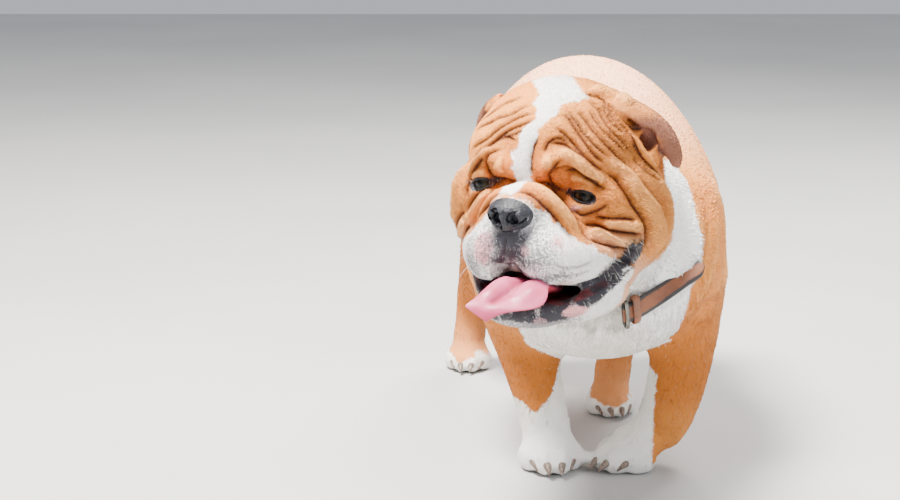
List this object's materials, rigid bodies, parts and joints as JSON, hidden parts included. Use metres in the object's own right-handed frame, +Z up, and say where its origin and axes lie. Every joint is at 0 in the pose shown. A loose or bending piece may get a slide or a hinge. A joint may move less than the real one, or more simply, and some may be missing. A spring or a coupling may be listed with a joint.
{
  "type": "english bulldog",
  "caption": "Life-size english bulldog walking on all fours, with its head turned to its right, its mouth open and its tongue out. It wears a leather collar.",
  "frame": {"origin": "on the floor, under the middle of the dog's bounding box", "axes": "+Z up, the dog faces -Y and its left side is +X"},
  "size_m": [0.3288, 0.804, 0.4655],
  "materials": {
    "coat": "short flat coat, orange-tan with white blaze, muzzle, bib and lower forelegs",
    "nose_leather": "dark grey, pebbled and damp",
    "tongue": "pink, soft and wet",
    "eye": "dark brown, wet",
    "collar_leather": "brown, worn, with dark edges",
    "buckle_metal": "dull metal"
  },
  "bodies": {
    "root": {"torso": "coat", "neck": "coat", "head": "coat", "lower_jaw": "coat", "ear_left": "coat", "ear_right": "coat", "foreleg_left": "coat", "foreleg_right": "coat", "hindleg_left": "coat", "hindleg_right": "coat", "forepaw_left": "coat", "forepaw_right": "coat", "hindpaw_left": "coat", "hindpaw_right": "coat", "tail": "coat", "nose": "nose_leather", "tongue": "tongue", "eye_left": "eye", "eye_right": "eye", "collar_band": "collar_leather", "collar_strap_end": "collar_leather", "collar_keeper": "collar_leather", "collar_buckle": "buckle_metal"}
  },
  "joints": []
}
